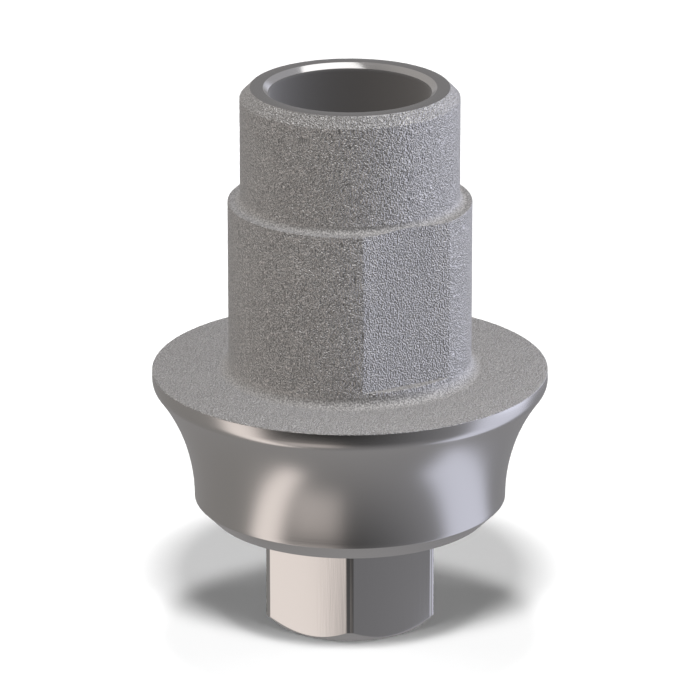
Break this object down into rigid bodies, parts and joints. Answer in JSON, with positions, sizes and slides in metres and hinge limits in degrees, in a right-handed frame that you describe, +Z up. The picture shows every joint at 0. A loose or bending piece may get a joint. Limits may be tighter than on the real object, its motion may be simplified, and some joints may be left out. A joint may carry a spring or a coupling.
{
  "type": "dental implant abutment",
  "caption": "Titanium base abutment: stepped, blasted chimney with an anti-rotation flat for bonding a crown, flared collar, and a hex that drops into the implant.",
  "frame": {"origin": "centre of the hex's end face, which the part stands on", "axes": "+Z up along the screw channel towards the chimney's mouth, -Y out of the chimney's milled flat"},
  "size_m": [0.0058, 0.0058, 0.008],
  "materials": {
    "titanium": "machined titanium, satin on the collar and hex, grit-blasted on the chimney"
  },
  "bodies": {
    "root": {"abutment_body": "titanium"}
  },
  "joints": []
}
